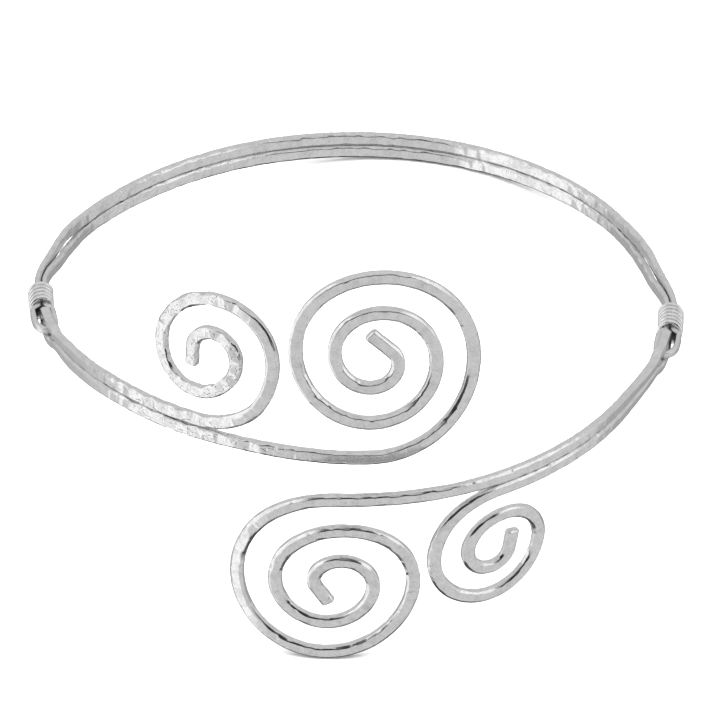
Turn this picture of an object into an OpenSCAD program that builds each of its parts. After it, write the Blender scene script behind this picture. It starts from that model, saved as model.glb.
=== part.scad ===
// Spiral arm ring: a doubled wire hoop whose two eyes carry two hairpin arms, each ending in
// a large and a small spiral. The wires are swept rounded bars, so they come out faceted.
// Everything is drawn as the ring lies by itself: on the back of its hoop and on the lower spirals.

/* [Ring] */
// Radius of the ring, to the middle of the wire, in mm
ring_radius = 43.6; // [36:0.1:50]
// How far the left side of the ring is set back from its centre, in mm
left_set_back = 4.7; // [-6:0.1:6]
// How far the right side of the ring is set back from its centre, in mm
right_set_back = -1.1; // [-6:0.1:6]
// How far the bindings and the eyes stand out from the ring, in mm
joint_out = 1.1; // [0:0.05:1.5]

/* [Wire] */
// Width of the hammered flat of the wire, in mm
wire_width = 2; // [1.5:0.05:2.6]
// Thickness of the wire, from the inside to the outside of the ring, in mm
wire_thickness = 1.2; // [0.9:0.05:1.6]
// Corner that is taken off the wire's section, in mm
wire_corner = 0.3; // [0.1:0.05:0.45]
// Gap between the two strands of a pair, in mm
strand_gap = 0.06; // [0.02:0.01:0.3]

/* [Eyes of the hoop] */
// Where the upper strand begins to sink outside the lower one, from the ring's side, in mm
cross_start = -24; // [-28:0.5:-14]
// Where the strands lie level, side by side, from the ring's side, in mm
cross_end = 1; // [-8:0.5:1]
// Distance from the side of the ring forward to the tip of the eye, in mm
eye_reach = 11.2; // [10.8:0.1:13]
// Distance between the middles of the eye's two legs, in mm
eye_spread = 2.8; // [2.8:0.05:3.4]
// Length of the rounded tip of the eye, in mm
eye_tip = 2; // [1.4:0.1:3]
// Height of the wire at the tip of the eye, where it is beaten flat, in mm
eye_height = 1.2; // [0.9:0.05:1.2]
// Height of the wire inside the binding, in mm
neck_height = 1.9; // [1.2:0.05:2.1]
// Thickness of the wire inside the binding, in mm
neck_wire = 0.9; // [0.8:0.05:1]
// Thickness of the wire of the eye, in mm
eye_wire = 0.85; // [0.75:0.05:0.85]

/* [Folds of the arms] */
// Distance from the side of the ring forward to the back of the fold, in mm
fold_start = 6.4; // [6.3:0.1:7]
// Height of the slot between the arm's legs, where the eye passes, in mm
slot_height = 1.5; // [1.5:0.05:2]
// Height of each leg beside the slot, in mm
leg_height = 1.3; // [1:0.05:1.8]
// Thickness of the legs beside the slot, in mm
leg_thickness = 1.35; // [0.8:0.05:1.35]
// How far the fold lies towards the inside of the ring, in mm
fold_inset = 0.2; // [0:0.01:0.2]
// How much further the legs lie towards the inside just in front of the eye, in mm
legs_inset = 0.2; // [0:0.05:0.2]
// Distance from the side of the ring forward to where the legs have closed to a pair, in mm
legs_close = 14.5; // [14:0.5:25]

/* [Bindings] */
// Diameter of the binding wire, in mm
binding_wire = 0.65; // [0.5:0.05:0.8]
// Distance from one turn of the binding to the next, in mm
binding_pitch = 0.87; // [0.6:0.01:1.1]
// Number of turns of the left binding
left_turns = 5; // [3:1:8]
// Number of turns of the right binding
right_turns = 6; // [3:1:8]
// Distance from the side of the ring forward to the front of the bindings, in mm
binding_front = 5.6; // [4:0.1:5.8]

/* [Upper arm] */
// Pitch of the arm about the tip of its eye, up at the front, in degrees
upper_pitch = 2; // [-4:0.1:14]
// Lean of the spirals towards the inside of the ring, in degrees
upper_lean = 2.8; // [0:0.1:8]
// How far the middle of the arm's pair bows upwards, in mm
upper_bow = 0.75; // [-1:0.01:1]
// Distance from the side of the ring forward to where the legs have the wire's full size, in mm
upper_legs_full = 19; // [18:0.5:36]
// Start of the large spiral, along the ring from the middle of the front, in mm
upper_large_start = 2.2; // [-6:0.05:6]
// Radius of the large spiral where it leaves the strand, in mm
upper_large_radius = 15.4; // [12:0.05:18]
// Distance between the turns of the large spiral, in mm
upper_large_step = 5.52; // [4.4:0.01:6.5]
// Number of turns of the large spiral
upper_large_turns = 2.335; // [1.5:0.005:2.6]
// Length of the straight inner end of the large spiral, in mm
upper_large_end = 4.3; // [1:0.1:5]
// Ovality of the large spiral, as a share of its radius
upper_large_oval = -0.013; // [-0.06:0.001:0.06]
// Start of the small spiral, along the ring from the middle of the front, in mm
upper_small_start = -22.35; // [-28:0.05:-16]
// Radius of the small spiral where it leaves the strand, in mm
upper_small_radius = 11.4; // [9:0.05:13]
// Distance between the turns of the small spiral, in mm
upper_small_step = 5.34; // [4:0.01:6]
// Number of turns of the small spiral
upper_small_turns = 1.715; // [1.2:0.005:1.9]
// Length of the straight inner end of the small spiral, in mm
upper_small_end = 3; // [1:0.1:5]
// Ovality of the small spiral, as a share of its radius
upper_small_oval = 0.05; // [-0.06:0.001:0.06]

/* [Lower arm] */
// Pitch of the arm about the tip of its eye, up at the front, in degrees
lower_pitch = -5.1; // [-16:0.1:4]
// Lean of the spirals towards the inside of the ring, in degrees
lower_lean = 1.5; // [0:0.1:8]
// How far the middle of the arm's pair bows upwards, in mm
lower_bow = -0.25; // [-1:0.01:1]
// Distance from the side of the ring forward to where the legs have the wire's full size, in mm
lower_legs_full = 28; // [18:0.5:36]
// Start of the large spiral, along the ring from the middle of the front, in mm
lower_large_start = -2.35; // [-6:0.05:6]
// Radius of the large spiral where it leaves the strand, in mm
lower_large_radius = 15.35; // [12:0.05:18]
// Distance between the turns of the large spiral, in mm
lower_large_step = 5.61; // [4.4:0.01:6.5]
// Number of turns of the large spiral
lower_large_turns = 2.305; // [1.5:0.005:2.6]
// Length of the straight inner end of the large spiral, in mm
lower_large_end = 3.2; // [1:0.1:5]
// Ovality of the large spiral, as a share of its radius
lower_large_oval = 0.048; // [-0.06:0.001:0.06]
// Start of the small spiral, along the ring from the middle of the front, in mm
lower_small_start = 21.05; // [16:0.05:28]
// Radius of the small spiral where it leaves the strand, in mm
lower_small_radius = 10.6; // [9:0.05:13]
// Distance between the turns of the small spiral, in mm
lower_small_step = 4.97; // [4:0.01:6]
// Number of turns of the small spiral
lower_small_turns = 1.685; // [1.2:0.005:1.9]
// Length of the straight inner end of the small spiral, in mm
lower_small_end = 3.3; // [1:0.1:5]
// Ovality of the small spiral, as a share of its radius
lower_small_oval = 0.037; // [-0.06:0.001:0.06]

/* [Rest] */
// Tilt of the hoop's plane to the ground as the ring lies, in degrees
rest_tilt = 19.23; // [0:0.01:30]
// Side to which the raised front is turned as the ring lies, in degrees
rest_turn = 15; // [-20:0.1:20]
// How far the ring's centre lies behind the middle of the ground that the ring covers, in mm
rest_back = 3.61; // [-10:0.01:10]

/* [Hidden] */
half_step = (wire_width + strand_gap) / 2;      // height of a strand above the middle of its pair
quarter = 90 * PI / 180 * ring_radius;          // arc from the front of the ring to its side
neck = (neck_wire + strand_gap) / 2;            // half spread of the legs inside the binding
neck_start = 3;                                 // where the strands have the thickness of the neck
pin = eye_reach - eye_wire / 2;                 // the eye's bar, on which the arm turns
crotch = binding_front - 0.35;                  // where the eye's legs part, just inside the binding
eye_opens = 1.3;                                // length over which the eye's legs part
binding_sides = 16;                             // stations in one turn of a binding
slot_middle = (slot_height + leg_height) / 2;   // height of a leg above the middle of the slot
fold_centre = fold_start + slot_middle + leg_height / 2;
slot_end = eye_reach + 1;                      // where the legs begin to close in front of the eye
insets = [12, eye_reach - 0.9, 3, 14, 8];       // length over which the fold's inset ends; start and
                                                // length of the legs' inset, and of its end
bows = [18, 15, 48, 22, 5];                     // start and length of the bow's rise and of its fall,
                                                // and how far above the pair it still reaches
binding_clear = 0.06;                           // space between the pair and its binding
spiral_angle = 9;                               // a station of a spiral every so many degrees
back_angle = 4.5;                               // a station of the hoop every so many degrees
ground = (ring_radius + wire_thickness / 2 - wire_corner) * sin(rest_tilt)
       + (half_step + wire_width / 2) * cos(rest_tilt);

function clamp(x) = max(0, min(1, x));
function smooth(x) = let (c = clamp(x)) c * c * (3 - 2 * c);
function mix(a, b, k) = a + (b - a) * k;
function unit(v) = v / norm(v);
function last(v) = v[len(v) - 1];

// A bar's section with its corners taken off, counter-clockwise
function section(w, t, c) = [[w/2, t/2 - c], [w/2 - c, t/2], [c - w/2, t/2], [-w/2, t/2 - c],
                             [-w/2, c - t/2], [c - w/2, -t/2], [w/2 - c, -t/2], [w/2, c - t/2]];

// Sets of points around a wire, joined to a closed or a capped tube
module tube(rings, closed = false) {
    n = len(rings[0]);
    m = len(rings);
    sides = [for (i = [0 : m - (closed ? 1 : 2)], j = [0 : n - 1])
        let (a = i * n + j, b = i * n + (j + 1) % n,
             c = ((i + 1) % m) * n + (j + 1) % n, d = ((i + 1) % m) * n + j)
        each [[a, d, c], [a, c, b]]];
    caps = closed ? [] : [[for (j = [0 : n - 1]) j], [for (j = [n - 1 : -1 : 0]) (m - 1) * n + j]];
    polyhedron([for (r = rings) each r], concat(sides, caps), convexity = 8);
}

// The hoop's centre line, by the angle from the front of the ring
function set_back(a, back) = back * (abs(a) <= 90 ? 1 : pow(abs(sin(a)), 8));
function forward(a) = quarter * (1 - abs(a) / 90);     // arc forward of the ring's side
function bulge(a) = let (u = forward(a))
    joint_out * smooth((u + 10) / 9) * (1 - smooth((u - 11) / 12));
function on_ring(a, out, up, back) = let (r = ring_radius + bulge(a) + out)
    [r * sin(a), set_back(a, back) - r * cos(a), up];

// The strands at a distance u forward of the ring's side: the upper one goes round the corner of the
// lower one, from above it to outside it, and both grow thinner towards the binding and the eye
function thinning(u) = smooth((u - cross_start) / (neck_start - cross_start));
function spreading(u) = smooth((u - crotch) / eye_opens);
function wire_high(u) = mix(mix(wire_width, neck_height, thinning(u)), eye_height,
                            smooth((u - crotch) / (pin - crotch)));
function wire_thick(u) = mix(mix(wire_thickness, neck_wire, thinning(u)), eye_wire, spreading(u));
function crossing(u) = 90 * smooth(smooth((u - cross_start) / (cross_end - cross_start)));
function half_apart(u) = u > crotch ? mix(neck, eye_spread / 2, spreading(u))
                                    : sqrt(sin(crossing(u))) * (wire_thick(u) + strand_gap) / 2;
function half_above(u) = sqrt(cos(crossing(u))) * (wire_high(u) + strand_gap) / 2;

// Stations of the hoop: place, height and thickness of the wire, on the upper (1) or the lower (-1) strand
function eye_leg(side) =
    concat([for (u = concat([for (k = [cross_start : 1.5 : binding_front - 1.6]) k],
                            [for (k = [0, 0.25, 0.5, 0.75, 1]) crotch + k * eye_opens], [8]))
                [u, side * half_apart(u), side * half_above(u)]],
           [for (a = [90 : -18 : 18]) [eye_reach - eye_wire / 2 - eye_tip * (1 - cos(a)),
                                       side * eye_spread / 2 * sin(a), 0]]);
function eye_station(p, hand, back) =
    let (a = hand * (90 - p[0] / quarter * 90))
    [on_ring(a, p[1], p[2], back), wire_high(p[0]), wire_thick(p[0])];
function eye_end(side, hand, back) = [for (p = eye_leg(side)) eye_station(p, hand, back)];
function turned(v) = [for (i = [len(v) - 1 : -1 : 0]) v[i]];
function back_strand(side) =
    let (from = 90 - cross_start / quarter * 90 + back_angle)
    [for (a = [-from : -back_angle : -180])
         [on_ring(a, 0, side * half_step, left_set_back), wire_width, wire_thickness],
     for (a = [180 - back_angle : -back_angle : from])
         [on_ring(a, 0, side * half_step, right_set_back), wire_width, wire_thickness]];

// The whole loop: out along the upper strand, round the right eye, back along the lower strand
function loop() = concat(
    [eye_station([pin, 0, 0], -1, left_set_back)],
    turned(eye_end(1, -1, left_set_back)), back_strand(1), eye_end(1, 1, right_set_back),
    [eye_station([pin, 0, 0], 1, right_set_back)],
    turned(eye_end(-1, 1, right_set_back)), turned(back_strand(-1)), eye_end(-1, -1, left_set_back));

module back_hoop_wire() {
    st = loop();
    m = len(st);
    tube([for (i = [0 : m - 1])
        let (t = unit(st[(i + 1) % m][0] - st[(i + m - 1) % m][0]),
             e = unit(cross(t, [0, 0, 1])), w = cross(e, t))
        [for (q = section(st[i][1], st[i][2], wire_corner)) st[i][0] + q[0] * w + q[1] * e]],
        closed = true);
}

// A binding: a wire wound in oval turns round the pair, from the front of the binding backwards
module binding_wire_coil(hand, back, turns) {
    x = neck_wire + strand_gap / 2;                 // half width and half height of the pair inside
    z = neck_height / 2;
    // The oval through the pair's bevelled corners
    d = x * x * z * z - pow((x - wire_corner) * (z - wire_corner), 2);
    rx = sqrt(d / (z * z - pow(z - wire_corner, 2))) + binding_wire / 2 + binding_clear;
    rz = sqrt(d / (x * x - pow(x - wire_corner, 2))) + binding_wire / 2 + binding_clear;
    pts = [for (i = [0 : binding_sides * turns])
        let (u = binding_front - binding_wire / 2 - binding_pitch * i / binding_sides,
             a = 360 * i / binding_sides - 90, g = hand * (90 - u / quarter * 90))
        [on_ring(g, rx * cos(a), rz * sin(a), back),
         [cos(a) / rx * sin(g), -cos(a) / rx * cos(g), sin(a) / rz]]];
    m = len(pts);
    tube([for (i = [0 : m - 1])
        let (t = unit(pts[min(i + 1, m - 1)][0] - pts[max(i - 1, 0)][0]),
             e = unit(pts[i][1] - (pts[i][1] * t) * t), f = cross(e, t))
        [for (b = [0 : 60 : 300]) pts[i][0] + binding_wire / 2 * (cos(b) * f + sin(b) * e)]]);
}

// A spiral that leaves a level strand at start, at the given height, and winds inwards and upwards
function spiral(start, radius, step, turns, end, oval, up) =
    let (grow = step / 360, first = -90 - atan(grow * 180 / PI / radius), sweep = 360 * turns,
         n = round(sweep / spiral_angle),
         p = [for (i = [0 : n]) let (t = sweep * i / n, r = radius - grow * t)
              r * (1 - oval * smooth(t / 120) * sin(2 * t)) * [cos(first + t), sin(first + t)]],
         d = unit(p[n] - p[n - 1]))
    [for (q = concat(p, [for (k = [0.35, 0.7, 1]) p[n] + end * k * d]))
        [start + q[0] - p[0][0], up + q[1] - p[0][1], wire_width, wire_thickness]];

// The legs from the fold to where a spiral leaves them, on the upper (1) or lower (-1) side
function leg(side, to, full_size) =
    [for (u = concat([for (k = [0 : 3]) mix(fold_centre, slot_end, k / 3)],
                     [for (k = [1 : 6]) mix(slot_end, legs_close, k / 6)],
                     [for (k = [1 : 16]) mix(legs_close, quarter + to - 1, k / 16)]))
        let (closed = smooth((u - slot_end) / (legs_close - slot_end)),
             full = smooth((u - slot_end) / (full_size - slot_end)), high = mix(leg_height, wire_width, full))
        [u - quarter, side * mix(slot_middle, (high + strand_gap) / 2, closed), high,
         mix(leg_thickness, wire_thickness, full)]];
function fold() = [for (a = [75 : -15 : -75])
    [fold_centre - quarter - slot_middle * cos(a), slot_middle * sin(a), leg_height, leg_thickness]];
function ended(v) = let (a = last(v), b = v[len(v) - 2], d = unit([a[0] - b[0], a[1] - b[1]]))
    concat(v, [[a[0] + 0.25 * d[0], a[1] + 0.25 * d[1], a[2] * 0.7, a[3] * 0.7]]);

// An arm on the unrolled ring: small spiral, upper leg, fold, lower leg, large spiral
function arm(large, small, full_size) = concat(
    turned(ended(spiral(small[0], small[1], small[2], small[3], small[4], small[5], half_step))),
    turned(leg(1, small[0], full_size)), fold(), leg(-1, large[0], full_size),
    ended(spiral(large[0], large[1], large[2], large[3], large[4], large[5], -half_step)));

// How far a place on the unrolled ring is raised, and how far it lies inwards
function bowed(u, z, bow) = bow * smooth((u - bows[0]) / bows[1]) * (1 - smooth((u - bows[2]) / bows[3]))
    * (1 - smooth((abs(z) - half_step) / bows[4]));
function inset(u) = fold_inset * (1 - smooth((u - slot_end) / insets[0]))
    + legs_inset * smooth((u - insets[1]) / insets[2]) * (1 - smooth((u - insets[3]) / insets[4]));

module arm_wire(large, small, full_size, hand, back, bow, lean, pitch) {
    st = arm(large, small, full_size);
    m = len(st);
    g = -hand * (90 - pin / quarter * 90);
    out = [sin(g), -cos(g), 0];
    hinge = on_ring(g, 0, 0, back);
    translate(hinge) rotate(a = hand * pitch, v = out) translate(-hinge)
    tube([for (i = [0 : m - 1])
        let (u = quarter + st[i][0], z = hand * st[i][1], a = hand * st[i][0] / quarter * 90,
             k = tan(lean) * (abs(z) > half_step ? sign(z) : 0),
             r = [sin(a), -cos(a), 0], along = [cos(a), sin(a), 0],
             in = inset(u) + max(0, abs(z) - half_step) * tan(lean),
             c = on_ring(a, -in, z + bowed(u, z, bow), back),
             up = unit([0, 0, 1] - k * r), e = unit(r + k * [0, 0, 1]),
             d = hand * unit([st[min(i + 1, m - 1)][0] - st[max(i - 1, 0)][0],
                              st[min(i + 1, m - 1)][1] - st[max(i - 1, 0)][1]]),
             w = d[0] * up - d[1] * along)
        [for (q = section(st[i][2], st[i][3], wire_corner)) c + q[0] * w + q[1] * e]]);
}

// From the hoop's own frame to the ring as it lies on the ground
module rest() {
    translate([0, rest_back, ground])
    rotate(a = -rest_tilt, v = [cos(rest_turn), -sin(rest_turn), 0]) children();
}

module back_hoop() color("silver") rest() back_hoop_wire();
module left_binding() color("gainsboro") rest() binding_wire_coil(-1, left_set_back, left_turns);
module right_binding() color("gainsboro") rest() binding_wire_coil(1, right_set_back, right_turns);
module upper_arm() color("lightgray") rest()
    arm_wire([upper_large_start, upper_large_radius, upper_large_step, upper_large_turns, upper_large_end,
              upper_large_oval],
             [upper_small_start, upper_small_radius, upper_small_step, upper_small_turns, upper_small_end,
              upper_small_oval],
             upper_legs_full, 1, left_set_back, upper_bow, upper_lean, upper_pitch);
module lower_arm() color("lightgray") rest()
    arm_wire([-lower_large_start, lower_large_radius, lower_large_step, lower_large_turns, lower_large_end,
              lower_large_oval],
             [-lower_small_start, lower_small_radius, lower_small_step, lower_small_turns, lower_small_end,
              lower_small_oval],
             lower_legs_full, -1, right_set_back, lower_bow, lower_lean, lower_pitch);

back_hoop();
left_binding();
right_binding();
upper_arm();
lower_arm();
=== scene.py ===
import math
import random
from bisect import bisect_right

import bmesh
import bpy
from bpy.props import FloatProperty, FloatVectorProperty, IntProperty, PointerProperty
from mathutils import Matrix, Vector


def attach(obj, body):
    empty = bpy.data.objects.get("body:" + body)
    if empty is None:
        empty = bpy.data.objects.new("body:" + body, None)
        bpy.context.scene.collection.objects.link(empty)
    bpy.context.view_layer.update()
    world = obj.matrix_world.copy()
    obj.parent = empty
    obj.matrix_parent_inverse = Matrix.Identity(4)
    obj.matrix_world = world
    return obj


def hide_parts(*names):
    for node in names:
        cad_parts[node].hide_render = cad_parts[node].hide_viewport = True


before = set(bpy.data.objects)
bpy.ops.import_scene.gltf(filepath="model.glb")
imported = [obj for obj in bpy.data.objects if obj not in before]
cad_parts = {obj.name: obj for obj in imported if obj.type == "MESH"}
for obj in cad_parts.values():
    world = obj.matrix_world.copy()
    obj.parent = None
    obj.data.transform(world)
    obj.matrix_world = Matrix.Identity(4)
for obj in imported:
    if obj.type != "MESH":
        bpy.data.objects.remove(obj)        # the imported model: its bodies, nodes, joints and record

bl_info = {
    "name": "Spiral Arm Ring",
    "version": (1, 0, 0),
    "blender": (4, 5, 0),
    "location": "View3D > Sidebar > Arm Ring",
    "description": "Arm ring of hammered wire: a doubled hoop, two bindings and two arms with spirals",
    "category": "Add Mesh",
}

MM = 0.001
RIGHT_ANGLE = math.pi / 2
UP = Vector((0, 0, 1))

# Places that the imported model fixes, in metres and radians
LEFT_BACK, RIGHT_BACK = 4.7 * MM, -1.1 * MM         # how far each side of the ring is set back
JOINT_OUT = 1.1 * MM                                # how far the joints stand out from the ring
CROSS_START, CROSS_END = -24 * MM, 1 * MM          # where the strands go from stacked to side by side
CROSS_TIGHT = 0.075                                # how much closer the bevelled strands lie where they cross
NECK_START, NECK_HEIGHT, NECK_WIRE = 3 * MM, 1.9 * MM, 0.9 * MM
EYE_REACH, EYE_SPREAD, EYE_TIP = 11.2 * MM, 2.8 * MM, 2 * MM
EYE_HEIGHT, EYE_WIRE, EYE_OPENS = 1.2 * MM, 0.85 * MM, 1.3 * MM
FOLD_START, SLOT_HEIGHT = 6.4 * MM, 1.5 * MM
LEG_HEIGHT, LEG_THICKNESS, LEGS_CLOSE = 1.3 * MM, 1.35 * MM, 14.5 * MM
FOLD_INSET, LEGS_INSET = 0.2 * MM, 0.2 * MM         # how far they lie towards the inside of the ring
BINDING_FRONT, BINDING_CLEAR = 5.6 * MM, 0.06 * MM
PIN = EYE_REACH - EYE_WIRE / 2                      # the eye's bar, on which an arm turns
CROTCH = BINDING_FRONT - 0.35 * MM                  # where the legs of the eye part
SLOT_MIDDLE = (SLOT_HEIGHT + LEG_HEIGHT) / 2
FOLD_CENTRE = FOLD_START + SLOT_MIDDLE + LEG_HEIGHT / 2
SLOT_END = EYE_REACH + 1 * MM
SOLID_CORNER = 0.3 * MM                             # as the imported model's wire is bevelled

# Where a change starts along the wire, and the length over which it is made
BULGE_RISE, BULGE_FALL = (-10, 9), (11, 12)         # in mm, as the joints stand out from the ring
LEGS_RISE, LEGS_FALL = (EYE_REACH - 0.9 * MM, 3 * MM), (14 * MM, 8 * MM)
FOLD_FALL = (SLOT_END, 12 * MM)
BOW_RISE, BOW_FALL, BOW_HEIGHT = (18 * MM, 15 * MM), (48 * MM, 22 * MM), 5 * MM

HOOP_STATION, ARM_STATION = 0.25 * MM, 0.2 * MM     # how far apart a bar's cuts lie
SHADE_REACH, SHADE_FADE = 6 * MM, 1 * MM              # how far from an eye's tip its inside faces get painted shade, and over what length it fades
SHADE_FACE, SHADE_EDGE = 0.35 * MM, 0.15 * MM         # how far from the wire's middle that face lies
# near-black colour painted as shade on the eyes' inside faces, where the slit between the wires lies in
# shadow
PAINTED_SHADE_COLOUR = (0.04, 0.04, 0.042, 1)
REST_TILT, REST_TURN, REST_BACK = math.radians(19.23), math.radians(15), 3.61 * MM

# Each arm: the joint it hangs on (1 left, -1 right), how far its pair bows upwards, where its legs have
# the wire's full size, its lean and pitch, and its two spirals as start along the ring, outer radius, step,
# turns, straight inner end and ovality
UPPER_ARM = {
    "hand": 1, "back": LEFT_BACK, "bow": 0.75 * MM, "legs_full": 19 * MM,
    "lean": math.radians(2.8), "pitch": math.radians(2),
    "large": (2.2 * MM, 15.4 * MM, 5.52 * MM, 2.335, 4.3 * MM, -0.013),
    "small": (-22.35 * MM, 11.4 * MM, 5.34 * MM, 1.715, 3 * MM, 0.05),
}
LOWER_ARM = {
    "hand": -1, "back": RIGHT_BACK, "bow": -0.25 * MM, "legs_full": 28 * MM,
    "lean": math.radians(1.5), "pitch": math.radians(-5.1),
    "large": (2.35 * MM, 15.35 * MM, 5.61 * MM, 2.305, 3.2 * MM, 0.048),
    "small": (-21.05 * MM, 10.6 * MM, 4.97 * MM, 1.685, 3.3 * MM, 0.037),
}


# The studio's tent and its panels: brightness, degrees to the right of the front, degrees above the hoop
TENT = 0.68
PANELS = (
    (0.4, (110, 200), (-62, -8)), (0.45, (-200, -118), (-62, -8)),
    (0.66, (95, 200), (0, 60)), (0.66, (-200, -95), (0, 60)),
    (0.75, (-200, 200), (66, 90)),
    (0.08, (-200, 200), (-90, -62)),
    (0.03, (-32, 32), (-8, 22)),
    (1.15, (-92, -72), (-54, 30)), (1.15, (-62, -46), (-54, 30)),
    (1.1, (40, 75), (-4, 30)),
)


class RingSizes(bpy.types.PropertyGroup):
    ring_radius: FloatProperty(
        name="Ring Radius", description="Radius of the ring, to the middle of the wire",
        default=43.6 * MM, min=36 * MM, max=50 * MM, unit="LENGTH", precision=5)
    wire_width: FloatProperty(
        name="Wire Width", description="Width of the hammered flat of the wire",
        default=2 * MM, min=1.5 * MM, max=2.6 * MM, unit="LENGTH", precision=5)
    wire_thickness: FloatProperty(
        name="Wire Thickness",
        description="Thickness of the wire, from the inside to the outside of the ring",
        default=1.2 * MM, min=0.9 * MM, max=1.6 * MM, unit="LENGTH", precision=5)
    wire_corner: FloatProperty(
        name="Wire Corner", description="How much of the wire's thickness its bevelled corners take up",
        default=0.27 * MM, min=0.1 * MM, max=0.4 * MM, unit="LENGTH", precision=5)
    corner_reach: FloatProperty(
        name="Corner Reach",
        description="How much further the bevelled corners reach over the hammered flats",
        default=1.4, min=1, max=1.8)
    corner_edge: FloatProperty(
        name="Corner Edge", description="How far the bevels' own edges are rounded",
        default=0.07 * MM, min=0.02 * MM, max=0.1 * MM, unit="LENGTH", precision=6)
    strand_gap: FloatProperty(
        name="Strand Gap", description="Gap between the two strands of a pair",
        default=0.06 * MM, min=0.02 * MM, max=0.3 * MM, unit="LENGTH", precision=5)
    binding_wire: FloatProperty(
        name="Binding Wire", description="Diameter of the binding wire",
        default=0.65 * MM, min=0.5 * MM, max=0.8 * MM, unit="LENGTH", precision=5)
    binding_pitch: FloatProperty(
        name="Binding Pitch", description="Distance from one turn of a binding to the next",
        default=0.87 * MM, min=0.6 * MM, max=1.1 * MM, unit="LENGTH", precision=5)
    left_turns: IntProperty(
        name="Left Turns", description="Number of turns of the left binding", default=5, min=3, max=8)
    right_turns: IntProperty(
        name="Right Turns", description="Number of turns of the right binding", default=6, min=3, max=8)


class HammerWork(bpy.types.PropertyGroup):
    mark_length: FloatProperty(
        name="Mark Length", description="Distance from one hammer mark to the next along the wire",
        default=2.1 * MM, min=1 * MM, max=6 * MM, unit="LENGTH", precision=5)
    mark_depth: FloatProperty(
        name="Mark Depth", description="Depth of the deepest hammer marks",
        default=0.07 * MM, min=0, max=0.2 * MM, unit="LENGTH", precision=6)
    mark_tilt: FloatProperty(
        name="Mark Tilt", description="How far the deepest hammer marks tilt",
        default=math.radians(9), min=0, max=math.radians(15), unit="ROTATION")
    mark_edge: FloatProperty(
        name="Mark Edge", description="Radius of the rise at the ends of a mark",
        default=1.2 * MM, min=0.3 * MM, max=10 * MM, unit="LENGTH", precision=5)
    bevel_depth: FloatProperty(
        name="Bevel Depth", description="Depth of the deepest marks on the wire's bevels",
        default=0.06 * MM, min=0, max=0.1 * MM, unit="LENGTH", precision=6)
    bevel_tilt: FloatProperty(
        name="Bevel Tilt", description="How far the marks on the wire's bevels tilt",
        default=math.radians(2), min=0, max=math.radians(8), unit="ROTATION")
    seed: IntProperty(name="Seed", description="Which set of hammer marks the wires get", default=7, min=0)


class SilverFinish(bpy.types.PropertyGroup):
    silver: FloatVectorProperty(
        name="Silver", description="Colour of the polished wire",
        default=(0.86, 0.86, 0.865), subtype="COLOR", min=0, max=1)
    tarnish: FloatVectorProperty(
        name="Tarnish", description="Colour of the wire where it has dulled",
        default=(0.66, 0.66, 0.665), subtype="COLOR", min=0, max=1)
    roughness: FloatProperty(
        name="Roughness", description="Roughness of the polished wire", default=0.16, min=0, max=1,
        subtype="FACTOR")


class StudioLook(bpy.types.PropertyGroup):
    floor: FloatVectorProperty(
        name="Floor", description="Colour of the floor", default=(0.9, 0.9, 0.9), subtype="COLOR",
        min=0, max=1)
    lens: FloatProperty(
        name="Lens", description="Focal length of the camera", default=391.9, min=50, max=1000,
        unit="CAMERA")
    distance: FloatProperty(
        name="Distance", description="Distance from the camera to the ring", default=1.111,
        min=0.3, max=5, unit="LENGTH")
    brightness: FloatProperty(
        name="Brightness", description="Brightness of the soft lights", default=1.0, min=0, max=10)


def smooth(x):
    c = max(0.0, min(1.0, x))
    return c * c * (3 - 2 * c)


def eased(x, change):
    """How much of a change is made at x, from its start and its length."""
    start, length = change
    return smooth((x - start) / length)


def mix(a, b, k):
    return a + (b - a) * k


def ramp(stops):
    """A value that runs straight from one stop to the next, each a place in mm and the value there."""
    def value(x):
        x = x / MM
        for (a, low), (b, high) in zip(stops, stops[1:]):
            if x < b:
                return mix(low, high, max(0, (x - a) / (b - a)))
        return stops[-1][1]
    return value


def rest_matrix():
    """From the hoop's own frame to the ring as it lies on the ground."""
    s = bpy.context.scene.ring_sizes
    half_step = (s.wire_width + s.strand_gap) / 2
    ground = ((s.ring_radius + s.wire_thickness / 2 - SOLID_CORNER) * math.sin(REST_TILT)
              + (half_step + s.wire_width / 2) * math.cos(REST_TILT))
    axis = Vector((math.cos(REST_TURN), -math.sin(REST_TURN), 0))
    return Matrix.Translation((0, REST_BACK, ground)) @ Matrix.Rotation(-REST_TILT, 4, axis)


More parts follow.
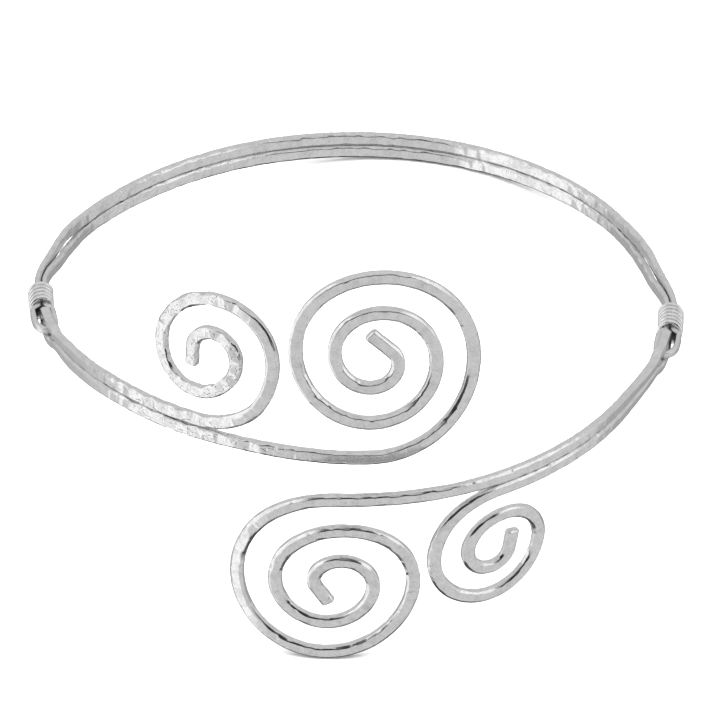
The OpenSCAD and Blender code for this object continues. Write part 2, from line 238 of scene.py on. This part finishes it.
class RingLine:
    """The ring's line, by the angle from its front or by the arc forward of its side."""

    def __init__(self):
        s = bpy.context.scene.ring_sizes
        self.sizes = s
        self.radius = s.ring_radius
        self.quarter = RIGHT_ANGLE * s.ring_radius
        self.half_step = (s.wire_width + s.strand_gap) / 2

    def forward(self, a):
        return self.quarter * (1 - abs(a) / RIGHT_ANGLE)

    def angle(self, u):
        return RIGHT_ANGLE * (1 - u / self.quarter)

    def place(self, a, out, up, back):
        u = self.forward(a) / MM
        bulge = JOINT_OUT * eased(u, BULGE_RISE) * (1 - eased(u, BULGE_FALL))
        r = self.radius + bulge + out
        set_back = back * (1 if abs(a) <= RIGHT_ANGLE else abs(math.sin(a)) ** 8)
        return Vector((r * math.sin(a), set_back - r * math.cos(a), up))

    def inset(self, u):
        """How far an arm lies inwards at a distance u forward of the ring's side."""
        return (FOLD_INSET * (1 - eased(u, FOLD_FALL))
                + LEGS_INSET * eased(u, LEGS_RISE) * (1 - eased(u, LEGS_FALL)))

    def bowed(self, u, above, bow):
        return bow * eased(u, BOW_RISE) * (1 - eased(u, BOW_FALL)) * (1 - smooth(above / BOW_HEIGHT))

    def spreading(self, u):
        return smooth((u - CROTCH) / EYE_OPENS)

    def pair_size(self, u):
        """Height and thickness of the hoop's wire at a distance u forward of the ring's side."""
        s, thinning = self.sizes, smooth((u - CROSS_START) / (NECK_START - CROSS_START))
        height = mix(s.wire_width, NECK_HEIGHT, thinning)
        thickness = mix(s.wire_thickness, NECK_WIRE, thinning)
        return (mix(height, EYE_HEIGHT, smooth((u - CROTCH) / (PIN - CROTCH))),
                mix(thickness, EYE_WIRE, self.spreading(u)))

    def pair_half(self, u):
        """How far outside and above the middle of the pair the upper strand lies there."""
        gap, (high, thick) = self.sizes.strand_gap, self.pair_size(u)
        turn = RIGHT_ANGLE * smooth(smooth((u - CROSS_START) / (CROSS_END - CROSS_START)))
        near = 1 - CROSS_TIGHT * math.sin(2 * turn) ** 4
        out = math.sqrt(math.sin(turn)) * (thick + gap) / 2 * near
        if u > CROTCH:
            out = mix((NECK_WIRE + gap) / 2, EYE_SPREAD / 2, self.spreading(u))
        return out, math.sqrt(max(0, math.cos(turn))) * (high + gap) / 2 * near


def steps(a, b, n):
    return [mix(a, b, i / n) for i in range(n + 1)]


def unique(rows, least=0.01 * MM):
    """The rows without those that fall on the row before."""
    kept = [rows[0]]
    for row in rows[1:]:
        if (row[0] - kept[-1][0]).length > least:
            kept.append(row)
    return kept


def hoop_line():
    """The hoop's one wire: out along the upper strand, round the right eye and back along the lower one."""
    ring = RingLine()
    s = ring.sizes

    def eye_end(side, hand, back):
        legs = [(u, *(side * half for half in ring.pair_half(u)))
                for u in steps(CROSS_START, PIN - EYE_TIP, 200)]
        tip = [(PIN - EYE_TIP * (1 - math.cos(a)), side * EYE_SPREAD / 2 * math.sin(a), 0)
               for a in steps(RIGHT_ANGLE, 0, 40)]
        return [(ring.place(hand * ring.angle(u), out, up, back), *ring.pair_size(u))
                for u, out, up in legs + tip]

    def back_strand(side):
        start = ring.angle(CROSS_START)
        left = steps(-start, -math.pi, 300)
        right = steps(math.pi, start, 300)
        return [(ring.place(a, 0, side * ring.half_step, back), s.wire_width, s.wire_thickness)
                for turn_list, back in ((left, LEFT_BACK), (right, RIGHT_BACK)) for a in turn_list]

    rows = unique(eye_end(1, -1, LEFT_BACK)[::-1] + back_strand(1) + eye_end(1, 1, RIGHT_BACK)
                  + eye_end(-1, 1, RIGHT_BACK)[::-1] + back_strand(-1)[::-1] + eye_end(-1, -1, LEFT_BACK))
    if (rows[-1][0] - rows[0][0]).length < 0.01 * MM:
        rows.pop()
    n = len(rows)
    line = []
    for i, (p, width, thick) in enumerate(rows):
        t = (rows[(i + 1) % n][0] - rows[i - 1][0]).normalized()
        e = t.cross(UP).normalized()
        line.append((p, e.cross(t), e, width, thick))
    return line + line[:1]


def arm_line(arm):
    """An arm's one wire: from the small spiral along a leg, round the fold and on to the large spiral."""
    ring = RingLine()
    s = ring.sizes
    hand, back = arm["hand"], arm["back"]

    def spiral(sizes, up):
        start, radius, step, turns, end, oval = sizes
        grow, sweep = step / math.tau, math.tau * turns
        first = -RIGHT_ANGLE - math.atan(grow / radius)
        points = []
        for t in steps(0, sweep, round(math.degrees(sweep))):
            r = (radius - grow * t) * (1 - oval * smooth(t / math.radians(120)) * math.sin(2 * t))
            points.append(Vector((r * math.cos(first + t), r * math.sin(first + t))))
        d = (points[-1] - points[-2]).normalized()
        points += [points[-1] + d * k for k in steps(0, end, 24)[1:]]
        return [(Vector((start, up)) + p - points[0], s.wire_width, s.wire_thickness) for p in points]

    def leg(side, to):
        rows = []
        for u in steps(FOLD_CENTRE, ring.quarter + to, 400):
            closed = smooth((u - SLOT_END) / (LEGS_CLOSE - SLOT_END))
            full = smooth((u - SLOT_END) / (arm["legs_full"] - SLOT_END))
            high = mix(LEG_HEIGHT, s.wire_width, full)
            half = mix(SLOT_MIDDLE, (high + s.strand_gap) / 2, closed)
            rows.append((Vector((u - ring.quarter, side * half)), high,
                         mix(LEG_THICKNESS, s.wire_thickness, full)))
        return rows

    fold = [(Vector((FOLD_CENTRE - ring.quarter - SLOT_MIDDLE * math.cos(a), SLOT_MIDDLE * math.sin(a))),
             LEG_HEIGHT, LEG_THICKNESS) for a in steps(RIGHT_ANGLE, -RIGHT_ANGLE, 60)]
    rows = unique(spiral(arm["small"], ring.half_step)[::-1] + leg(1, arm["small"][0])[::-1] + fold
                  + leg(-1, arm["large"][0]) + spiral(arm["large"], -ring.half_step))

    g = -hand * ring.angle(PIN)
    hinge = ring.place(g, 0, 0, back)
    swing = (Matrix.Translation(hinge)
             @ Matrix.Rotation(hand * arm["pitch"], 4, Vector((math.sin(g), -math.cos(g), 0)))
             @ Matrix.Translation(-hinge))
    turn = swing.to_3x3()
    lean, n, line = math.tan(arm["lean"]), len(rows), []
    for i, (q, width, thick) in enumerate(rows):
        u, z = ring.quarter + q.x, hand * q.y
        a = hand * q.x / ring.quarter * RIGHT_ANGLE
        over = abs(z) - ring.half_step
        k = lean * smooth(over / MM) * math.copysign(1, z)
        r, along = Vector((math.sin(a), -math.cos(a), 0)), Vector((math.cos(a), math.sin(a), 0))
        c = ring.place(a, -ring.inset(u) - max(0, over) * lean, z + ring.bowed(u, over, arm["bow"]), back)
        d = hand * (rows[min(i + 1, n - 1)][0] - rows[max(i - 1, 0)][0]).normalized()
        w = d.x * (UP - k * r).normalized() - d.y * along
        line.append((swing @ c, turn @ w, turn @ (r + k * UP).normalized(), width, thick))
    return line


def binding_line(hand, back, turns):
    """A binding's wire, wound in oval turns round the pair, from its front backwards."""
    ring = RingLine()
    s = ring.sizes
    c = SOLID_CORNER
    x, z = NECK_WIRE + s.strand_gap / 2, NECK_HEIGHT / 2
    d = x * x * z * z - ((x - c) * (z - c)) ** 2
    grow = s.binding_wire / 2 + BINDING_CLEAR
    rx = math.sqrt(d / (z * z - (z - c) ** 2)) + grow
    rz = math.sqrt(d / (x * x - (x - c) ** 2)) + grow
    points = []
    for turn in steps(0, math.tau * turns, 72 * turns):
        u, a = BINDING_FRONT - s.binding_wire / 2 - s.binding_pitch * turn / math.tau, turn - RIGHT_ANGLE
        g = hand * ring.angle(u)
        out = Vector((math.cos(a) / rx * math.sin(g), -math.cos(a) / rx * math.cos(g), math.sin(a) / rz))
        points.append((ring.place(g, rx * math.cos(a), rz * math.sin(a), back), out))
    line, n = [], len(points)
    for i, (p, out) in enumerate(points):
        t = (points[min(i + 1, n - 1)][0] - points[max(i - 1, 0)][0]).normalized()
        e = (out - out.dot(t) * t).normalized()
        line.append((p, e.cross(t), e, s.binding_wire, s.binding_wire))
    return line


class Bend:
    """Takes a place in a straight bar to the same place in the bent wire."""

    def __init__(self, line, width, thick):
        self.line, self.width, self.thick = line, width, thick
        self.at = [0.0]
        for a, b in zip(line, line[1:]):
            self.at.append(self.at[-1] + (b[0] - a[0]).length)
        self.length = self.at[-1]

    def station(self, x):
        i = max(0, min(len(self.at) - 2, bisect_right(self.at, x) - 1))
        k = (x - self.at[i]) / (self.at[i + 1] - self.at[i])
        a, b = self.line[i], self.line[i + 1]
        return [mix(a[j], b[j], k) for j in range(5)]

    def bend(self, bm, after):
        """Bends all the bar's vertices, then takes them through the matrix."""
        found = {}
        for v in bm.verts:
            key = round(v.co.x, 7)
            if key not in found:
                found[key] = self.station(v.co.x)
            p, w, e, width, thick = found[key]
            v.co = after @ (p + w.normalized() * v.co.z * width / self.width
                            + e.normalized() * v.co.y * thick / self.thick)


def straight_bar(length, width, thick, corner, station, closed, across=(3, 1), rounding=4, reach=1.0, edge=0):
    """A bar along X with corners rounded over corner, and reach times as far over the wide faces, cut into
    short stations. Where an edge is given, the corners are flat bevels whose own edges are rounded over it.
    A closed bar has no end faces."""
    bm = bmesh.new()
    width /= reach
    bmesh.ops.create_cube(bm, size=1, matrix=Matrix.Translation((length / 2, 0, 0))
                          @ Matrix.Diagonal((length, thick, width, 1)))

    def edges_along(axis, least):
        return [e for e in bm.edges if abs(e.verts[0].co[axis] - e.verts[1].co[axis]) > least]

    for offset, segments in ((corner, 1), (edge, rounding)) if edge else ((corner, rounding),):
        rounded = edges_along(0, length / 2) if closed else bm.edges[:]
        bmesh.ops.bevel(bm, geom=rounded, offset=offset, offset_type="OFFSET", segments=segments, profile=0.5,
                        affect="EDGES", material=-1, clamp_overlap=True)
    for axis, size, cuts in ((2, width, across[0]), (1, thick, across[1])):
        flats = edges_along(axis, (size - 2 * corner - 2 * edge) * 0.9)
        if cuts and flats:
            bmesh.ops.subdivide_edges(bm, edges=flats, cuts=cuts, use_grid_fill=True)
    if closed:
        caps = [f for f in bm.faces if abs(f.normal.x) > 0.9]
        bmesh.ops.delete(bm, geom=caps, context="FACES_ONLY")
    cuts = round(length / station)
    bmesh.ops.subdivide_edges(bm, edges=edges_along(0, length / 2), cuts=cuts, use_grid_fill=True)
    bmesh.ops.scale(bm, vec=(1, 1, reach), verts=bm.verts[:])
    return bm


def marks_along(rng, length, force, work):
    """Hammer marks along one side of a bar: place, depth, tilt, roll, skew and half length of each."""
    marks, x = [], -work.mark_length * rng.random()
    while x < length + work.mark_length:
        f, pitch = force(x), work.mark_length * rng.uniform(0.7, 1.3)
        marks.append((x + pitch / 2, work.mark_depth * mix(0.25, 1, f) * rng.uniform(0.5, 1),
                      f * rng.uniform(-1, 1) * work.mark_tilt, f * rng.uniform(-1, 1) * work.mark_tilt,
                      rng.uniform(-0.3, 0.3), pitch * rng.uniform(0.33, 0.4)))
        x += pitch
    return marks


def bevel_marks(rng, length, work):
    """Marks along one of a bar's bevels, which make its edges wavy."""
    marks, x = [], 0.0
    while x < length:
        pitch = work.mark_length * rng.uniform(0.8, 1.5)
        marks.append((x, work.bevel_depth * rng.random() ** 2, rng.uniform(-1, 1) * work.bevel_tilt, 0, 0,
                      pitch * 0.35))
        x += pitch
    return marks


def both_ways(marks, others, length):
    """The marks, and after them the others as they lie on the other strand, which runs the other way."""
    return sorted(marks + [(2 * length - x, d, -tilt, roll, -skew, half)
                           for x, d, tilt, roll, skew, half in others])


class Hammered:
    """One side of a bar after hammering: how deep it lies at a place along and across it."""

    def __init__(self, marks, edge):
        self.marks, self.edge = marks, edge
        self.places = [m[0] for m in marks]

    def depth(self, x, across):
        i = bisect_right(self.places, x)
        low = 0.0
        for at, deep, tilt, roll, skew, half in self.marks[max(0, i - 2):i + 2]:
            d = x - at - skew * across
            low = min(low, tilt * d + roll * across - deep + max(0.0, abs(d) - half) ** 2 / (2 * self.edge))
        return low


def hammer(bm, width, thick, corner, reach, front, rear, top, bottom, bevels):
    """Beats the four sides and the four bevels of a straight bar flat under the hammer's marks."""
    slope = math.atan(1 / reach)
    level = thick / 2 * math.cos(slope) + (width / 2 - corner * reach) * math.sin(slope)
    for v in bm.verts:
        x, y, z = v.co
        hand, side = math.copysign(1, y), math.copysign(1, z)
        over = (abs(y) * math.cos(slope) + abs(z) * math.sin(slope) - level
                - bevels[(y > 0) + 2 * (z > 0)].depth(x, 0))
        if over > 0:
            y -= hand * over * math.cos(slope)
            z -= side * over * math.sin(slope)
        if y > 0:
            y = min(y, thick / 2 + front.depth(x, z))
        else:
            y = max(y, -thick / 2 - rear.depth(x, z))
        if z > 0:
            z = min(z, width / 2 + top.depth(x, y))
        else:
            z = max(z, -width / 2 - bottom.depth(x, y))
        v.co = x, y, z


def keep_bar_places(bm, force, painted_shade=lambda x, y: 0.0):
    """Stores where each vertex lay in the straight bar, so that a grain can follow the wire, how hard it was
    beaten there and how much painted shade it gets."""
    place, beaten = bm.verts.layers.float_vector.new("bar"), bm.verts.layers.float.new("beaten")
    dark = bm.verts.layers.float.new("dark")
    for v in bm.verts:
        v[place], v[beaten], v[dark] = v.co.copy(), force(v.co.x), painted_shade(v.co.x, v.co.y)


def finished_piece(bm, name, materials, body, node):
    """The mesh as a scene object that rides on a body and stands for its plain node."""
    bmesh.ops.recalc_face_normals(bm, faces=bm.faces[:])
    if bm.calc_volume(signed=True) < 0:
        bmesh.ops.reverse_faces(bm, faces=bm.faces[:])
    for f in bm.faces:
        f.smooth = True
    mesh = bpy.data.meshes.new(name)
    bm.to_mesh(mesh)
    bm.free()
    for material in materials:
        mesh.materials.append(material)
    piece = bpy.data.objects.new(name, mesh)
    bpy.context.scene.collection.objects.link(piece)
    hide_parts(node)
    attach(piece, body)
    return piece


def socket(group, name, kind, way, value=None):
    made = group.interface.new_socket(name=name, in_out=way, socket_type=kind)
    if value is not None:
        made.default_value = value
    return made


def wire_grain_group():
    """Grain of drawn and polished wire: tone, roughness and height that follow the bar's own places, with
    painted shade mixed into the tone where it is given.
    """
    if "wire_grain" in bpy.data.node_groups:
        return bpy.data.node_groups["wire_grain"]
    g = bpy.data.node_groups.new("wire_grain", "ShaderNodeTree")
    socket(g, "Place", "NodeSocketVector", "INPUT")
    socket(g, "Beaten", "NodeSocketFloat", "INPUT", 0.5)
    socket(g, "Painted Shade", "NodeSocketFloat", "INPUT", 0)
    socket(g, "Polished", "NodeSocketColor", "INPUT", (0.6, 0.6, 0.6, 1))
    socket(g, "Dull", "NodeSocketColor", "INPUT", (0.4, 0.4, 0.4, 1))
    socket(g, "Roughness", "NodeSocketFloat", "INPUT", 0.2)
    socket(g, "Color", "NodeSocketColor", "OUTPUT")
    socket(g, "Roughness", "NodeSocketFloat", "OUTPUT")
    socket(g, "Height", "NodeSocketFloat", "OUTPUT")
    n, link = g.nodes, g.links.new
    given, out = n.new("NodeGroupInput"), n.new("NodeGroupOutput")

    def noise(scale_xyz, detail, rough):
        mapping = n.new("ShaderNodeMapping")
        mapping.inputs["Scale"].default_value = scale_xyz
        tex = n.new("ShaderNodeTexNoise")
        tex.inputs["Scale"].default_value = 1
        tex.inputs["Detail"].default_value = detail
        tex.inputs["Roughness"].default_value = rough
        link(given.outputs["Place"], mapping.inputs["Vector"])
        link(mapping.outputs[0], tex.inputs["Vector"])
        return tex.outputs["Fac"]

    def ranged(value, low, high, to_low, to_high):
        r = n.new("ShaderNodeMapRange")
        for key, x in (("From Min", low), ("From Max", high), ("To Min", to_low), ("To Max", to_high)):
            r.inputs[key].default_value = x
        link(value, r.inputs["Value"])
        return r.outputs[0]

    def added(operation, a, b):
        m = n.new("ShaderNodeMath")
        m.operation = operation
        link(a, m.inputs[0])
        link(b, m.inputs[1])
        return m.outputs[0]

    cloud = noise((900, 900, 900), 3, 0.55)
    lines = noise((350, 9000, 9000), 2, 0.6)
    pits = noise((1500, 1500, 1500), 0, 0.5)
    grain = noise((4000, 4000, 4000), 2, 0.5)
    colour = n.new("ShaderNodeMix")
    colour.data_type = "RGBA"
    specks = added("ADD", ranged(cloud, 0.42, 0.72, 0, 0.55), ranged(grain, 0.45, 0.7, 0, 0.4))
    link(specks, colour.inputs["Factor"])
    link(given.outputs["Polished"], colour.inputs["A"])
    link(given.outputs["Dull"], colour.inputs["B"])
    # painted shade: the tone is mixed towards near-black where the eye's inside faces stand in for the shadow
    # in its slit
    painted_shade_mix = n.new("ShaderNodeMix")
    painted_shade_mix.data_type = "RGBA"
    link(given.outputs["Painted Shade"], painted_shade_mix.inputs["Factor"])
    link(colour.outputs["Result"], painted_shade_mix.inputs["A"])
    painted_shade_mix.inputs["B"].default_value = PAINTED_SHADE_COLOUR
    link(painted_shade_mix.outputs["Result"], out.inputs["Color"])
    filed = ranged(given.outputs["Beaten"], 0, 0.2, 1, 0)
    polish = added("ADD", ranged(cloud, 0.3, 0.7, -0.04, 0.06), ranged(lines, 0.3, 0.7, -0.03, 0.05))
    rough = added("ADD", added("ADD", given.outputs["Roughness"], polish), ranged(filed, 0, 1, 0, 0.16))
    link(rough, out.inputs["Roughness"])
    drawn = added("MULTIPLY", ranged(lines, 0.3, 0.7, 0, 0.2), ranged(filed, 0, 1, 0.6, 2))
    dents = added("MULTIPLY", ranged(pits, 0.6, 0.66, 0, -8), ranged(given.outputs["Beaten"], 0.3, 1, 0, 1))
    link(added("ADD", added("ADD", drawn, ranged(grain, 0.3, 0.7, 0, 0.16)), dents), out.inputs["Height"])
    return g


def silver_material(name, lighter=1.0, rougher=0.0):
    """Silver-toned wire with the drawn grain of its own bar."""
    finish = bpy.context.scene.silver_finish
    m = bpy.data.materials.new(name)
    m.use_nodes = True
    n, link = m.node_tree.nodes, m.node_tree.links.new
    shader = n["Principled BSDF"]
    shader.inputs["Metallic"].default_value = 1
    place = n.new("ShaderNodeAttribute")
    place.attribute_name = "bar"
    grain = n.new("ShaderNodeGroup")
    grain.node_tree = wire_grain_group()
    grain.inputs["Polished"].default_value = [min(1, c * lighter) for c in finish.silver] + [1]
    grain.inputs["Dull"].default_value = [min(1, c * lighter) for c in finish.tarnish] + [1]
    grain.inputs["Roughness"].default_value = finish.roughness + rougher
    link(place.outputs["Vector"], grain.inputs["Place"])
    # the stored attributes: how hard the wire was beaten, and how much painted shade it gets
    for key, given in (("beaten", "Beaten"), ("dark", "Painted Shade")):
        stored = n.new("ShaderNodeAttribute")
        stored.attribute_name = key
        link(stored.outputs["Fac"], grain.inputs[given])
    link(grain.outputs["Color"], shader.inputs["Base Color"])
    link(grain.outputs["Roughness"], shader.inputs["Roughness"])
    bump = n.new("ShaderNodeBump")
    bump.inputs["Strength"].default_value = 0.6
    bump.inputs["Distance"].default_value = 0.01 * MM
    link(grain.outputs["Height"], bump.inputs["Height"])
    link(bump.outputs["Normal"], shader.inputs["Normal"])
    return m


def studio_world(look):
    """Soft panels round the ring, by direction from the hoop's own plane: a pale tent, dark in front."""
    world = bpy.data.worlds.new("studio")
    world.use_nodes = True
    n, link = world.node_tree.nodes, world.node_tree.links.new
    sky = n["Background"]
    place = n.new("ShaderNodeTexCoord")
    level = n.new("ShaderNodeVectorRotate")
    level.rotation_type = "AXIS_ANGLE"
    level.inputs["Axis"].default_value = (math.cos(REST_TURN), -math.sin(REST_TURN), 0)
    level.inputs["Angle"].default_value = REST_TILT
    split = n.new("ShaderNodeSeparateXYZ")
    link(place.outputs["Generated"], level.inputs["Vector"])
    link(level.outputs[0], split.inputs[0])

    def value(operation, *given):
        m = n.new("ShaderNodeMath")
        m.operation = operation
        for i, x in enumerate(given):
            if isinstance(x, (int, float)):
                m.inputs[i].default_value = x
            else:
                link(x, m.inputs[i])
        return m.outputs[0]

    # degrees to the right of the front, and degrees above the hoop's plane
    aside = value("DEGREES", value("ARCTAN2", split.outputs["X"], value("MULTIPLY", split.outputs["Y"], -1)))
    above = value("DEGREES", value("ARCSINE", split.outputs["Z"]))

    def rise(x, low, high):
        r = n.new("ShaderNodeMapRange")
        r.interpolation_type = "SMOOTHSTEP"
        r.inputs["From Min"].default_value, r.inputs["From Max"].default_value = low, high
        link(x, r.inputs["Value"])
        return r.outputs[0]

    def panel(light, brightness, sides, heights, soft=6):
        mask = 1.0
        for x, (low, high) in ((aside, sides), (above, heights)):
            mask = value("MULTIPLY", mask, value("MULTIPLY", rise(x, low - soft, low),
                                                 value("SUBTRACT", 1, rise(x, high, high + soft))))
        blend = n.new("ShaderNodeMix")
        link(mask, blend.inputs["Factor"])
        if isinstance(light, float):
            blend.inputs["A"].default_value = light
        else:
            link(light, blend.inputs["A"])
        blend.inputs["B"].default_value = brightness
        return blend.outputs["Result"]

    light = panel(TENT, *PANELS[0])
    for row in PANELS[1:]:
        light = panel(light, *row)
    link(light, sky.inputs["Color"])
    sky.inputs["Strength"].default_value = look.brightness
    return world


class ARMRING_OT_back_hoop(bpy.types.Operator):
    """Make the hoop: one wire, doubled round the back of the ring, with an eye at each side"""
    bl_idname = "armring.back_hoop"
    bl_label = "Back Hoop"

    def execute(self, context):
        s, work = context.scene.ring_sizes, context.scene.hammer_work
        bend = Bend(hoop_line(), s.wire_width, s.wire_thickness)
        bm = straight_bar(bend.length, s.wire_width, s.wire_thickness, s.wire_corner, HOOP_STATION,
                          closed=True, rounding=2, reach=s.corner_reach, edge=s.corner_edge)
        rng = random.Random(work.seed)
        half = bend.length / 2

        from_eye = ramp(((14, 0), (26, 0.35), (40, 0.6), (56, 0.6), (66, 0.35)))

        def force(x):
            return from_eye(min(x % half, half - x % half))

        front, rear, top, bottom = [marks_along(rng, half, force, work) for _ in range(4)]
        sides = [Hammered(both_ways(a, b, half), work.mark_edge)
                 for a, b in ((front, rear), (rear, front), (top, top), (bottom, bottom))]
        bevels = [Hammered(bevel_marks(rng, bend.length, work), work.mark_edge) for _ in range(4)]
        hammer(bm, s.wire_width, s.wire_thickness, s.wire_corner, s.corner_reach, *sides, bevels)

        # painted shade on the inside faces of each eye near its tip, which stands for the shadow in the slit
        # between its wires
        def eye_painted_shade(x, y):
            reach = min(x % half, half - x % half)
            return (1 - eased(reach, (SHADE_REACH, SHADE_FADE))) * eased(y, (SHADE_FACE, SHADE_EDGE))

        keep_bar_places(bm, force, eye_painted_shade)
        bend.bend(bm, rest_matrix())
        bmesh.ops.remove_doubles(bm, verts=bm.verts[:], dist=0.002 * MM)
        finished_piece(bm, "back_hoop_wire", [silver_material("hoop_silver")],
                       "hoop", "back_hoop")
        return {"FINISHED"}


def make_arm(context, arm, name, body, node, force, seed):
    s, work = context.scene.ring_sizes, context.scene.hammer_work
    bend = Bend(arm_line(arm), s.wire_width, s.wire_thickness)
    bm = straight_bar(bend.length, s.wire_width, s.wire_thickness, s.wire_corner, ARM_STATION, closed=False,
                      rounding=2, reach=s.corner_reach, edge=s.corner_edge)
    rng = random.Random(work.seed + seed)
    sides = [Hammered(marks_along(rng, bend.length, force, work), work.mark_edge) for _ in range(4)]
    bevels = [Hammered(bevel_marks(rng, bend.length, work), work.mark_edge) for _ in range(4)]
    hammer(bm, s.wire_width, s.wire_thickness, s.wire_corner, s.corner_reach, *sides, bevels)
    keep_bar_places(bm, force)
    bend.bend(bm, rest_matrix())
    finished_piece(bm, name, [silver_material(name + "_silver")], body, node)


class ARMRING_OT_arms(bpy.types.Operator):
    """Make the two hairpin arms, each with a large and a small spiral"""
    bl_idname = "armring.arms"
    bl_label = "Arms"

    def execute(self, context):
        # beaten hardest round the small spiral's left and on the pair beside it, and filed smooth by the fold
        upper = ramp(((44, 1), (50, 0.25), (70, 0.25), (76, 1), (90, 1), (98, 0), (138, 0), (146, 1),
                      (162, 1), (178, 0.2)))
        lower = ramp(((86, 0.25), (96, 0), (130, 0), (140, 0.25)))
        make_arm(context, UPPER_ARM, "upper_arm_wire", "upper_arm", "upper_arm", upper, 1)
        make_arm(context, LOWER_ARM, "lower_arm_wire", "lower_arm", "lower_arm", lower, 2)
        return {"FINISHED"}


class ARMRING_OT_bindings(bpy.types.Operator):
    """Make the two bindings that hold the hoop's strands together at the eyes"""
    bl_idname = "armring.bindings"
    bl_label = "Bindings"

    def execute(self, context):
        s = context.scene.ring_sizes
        for side, hand, back, turns in (("left", -1, LEFT_BACK, s.left_turns),
                                        ("right", 1, RIGHT_BACK, s.right_turns)):
            bend = Bend(binding_line(hand, back, turns), s.binding_wire, s.binding_wire)
            bm = straight_bar(bend.length, s.binding_wire, s.binding_wire, s.binding_wire * 0.44, ARM_STATION,
                              closed=False, across=(0, 0), rounding=4)
            keep_bar_places(bm, lambda x: 0.3)
            bend.bend(bm, rest_matrix())
            finished_piece(bm, side + "_binding_coil", [silver_material(side + "_binding_silver", 1.1)],
                           "hoop", side + "_binding")
        return {"FINISHED"}


class ARMRING_OT_stage(bpy.types.Operator):
    """Set up the pale floor, the soft lights and the camera"""
    bl_idname = "armring.stage"
    bl_label = "Stage"

    def execute(self, context):
        scene, look = context.scene, context.scene.studio_look
        scene.view_settings.view_transform = "Standard"

        bm = bmesh.new()
        bmesh.ops.create_grid(bm, x_segments=1, y_segments=1, size=1.5)
        mesh = bpy.data.meshes.new("floor")
        bm.to_mesh(mesh)
        bm.free()
        floor = bpy.data.objects.new("floor", mesh)
        scene.collection.objects.link(floor)
        m = bpy.data.materials.new("pale_floor")
        m.use_nodes = True
        shader = m.node_tree.nodes["Principled BSDF"]
        shader.inputs["Base Color"].default_value = (*look.floor, 1)
        shader.inputs["Roughness"].default_value = 0.9
        shader.inputs["Specular IOR Level"].default_value = 0.1
        mesh.materials.append(m)
        floor.visible_glossy = False                 # the wires mirror the studio's soft panels instead

        def softbox(name, at, to, size, watts):
            data = bpy.data.lights.new(name, "AREA")
            data.shape, data.size, data.size_y = "RECTANGLE", size[0], size[1]
            data.energy = watts * look.brightness
            lamp = bpy.data.objects.new(name, data)
            lamp.matrix_world = (Matrix.Translation(at)
                                 @ (Vector(to) - Vector(at)).to_track_quat("-Z", "Y").to_matrix().to_4x4())
            lamp.visible_camera = lamp.visible_glossy = False
            scene.collection.objects.link(lamp)

        softbox("top_light", (0.0, 0.1, 0.8), (0, 0, 0), (0.9, 0.8), 16)
        scene.world = studio_world(look)

        # the camera's rise above the hoop's plane, and where it looks, in the hoop's own frame
        rise, roll, side, down = math.radians(32.961), math.radians(0.183), 0.71 * MM, 7.586 * MM
        towards = Vector((0, -math.cos(rise), math.sin(rise)))
        upward = Vector((0, math.sin(rise), math.cos(rise)))
        eye = towards * look.distance
        target = Vector((side, 0, 0)) - upward * down
        back = (eye - target).normalized()
        right = upward.cross(back).normalized()
        upward = back.cross(right)
        right, upward = (right * math.cos(roll) + upward * math.sin(roll),
                         upward * math.cos(roll) - right * math.sin(roll))
        axes = Matrix((right, upward, back)).transposed().to_4x4()
        data = bpy.data.cameras.new("camera")
        data.lens, data.sensor_width = look.lens, 36
        data.clip_start, data.clip_end = 0.1, 10
        camera = bpy.data.objects.new("camera", data)
        camera.matrix_world = rest_matrix() @ Matrix.Translation(eye) @ axes
        scene.collection.objects.link(camera)
        scene.camera = camera
        return {"FINISHED"}


class ARMRING_PT_panel(bpy.types.Panel):
    bl_label = "Arm Ring"
    bl_idname = "ARMRING_PT_panel"
    bl_space_type = "VIEW_3D"
    bl_region_type = "UI"
    bl_category = "Arm Ring"

    def draw(self, context):
        for group in SETTINGS:
            for key in group.__annotations__:
                self.layout.prop(getattr(context.scene, SETTINGS[group]), key)
        for piece in OPERATORS:
            self.layout.operator(piece.bl_idname)


SETTINGS = {RingSizes: "ring_sizes", HammerWork: "hammer_work", SilverFinish: "silver_finish",
            StudioLook: "studio_look"}
OPERATORS = (ARMRING_OT_back_hoop, ARMRING_OT_arms, ARMRING_OT_bindings, ARMRING_OT_stage)


def register():
    for cls in (*SETTINGS, *OPERATORS, ARMRING_PT_panel):
        bpy.utils.register_class(cls)
    for group, key in SETTINGS.items():
        setattr(bpy.types.Scene, key, PointerProperty(type=group))


def unregister():
    for key in SETTINGS.values():
        delattr(bpy.types.Scene, key)
    for cls in (ARMRING_PT_panel, *reversed(OPERATORS), *reversed(SETTINGS)):
        bpy.utils.unregister_class(cls)


def main():
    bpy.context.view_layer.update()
    register()
    bpy.ops.armring.back_hoop()
    bpy.ops.armring.arms()
    bpy.ops.armring.bindings()
    bpy.ops.armring.stage()


if __name__ == "__main__":
    main()
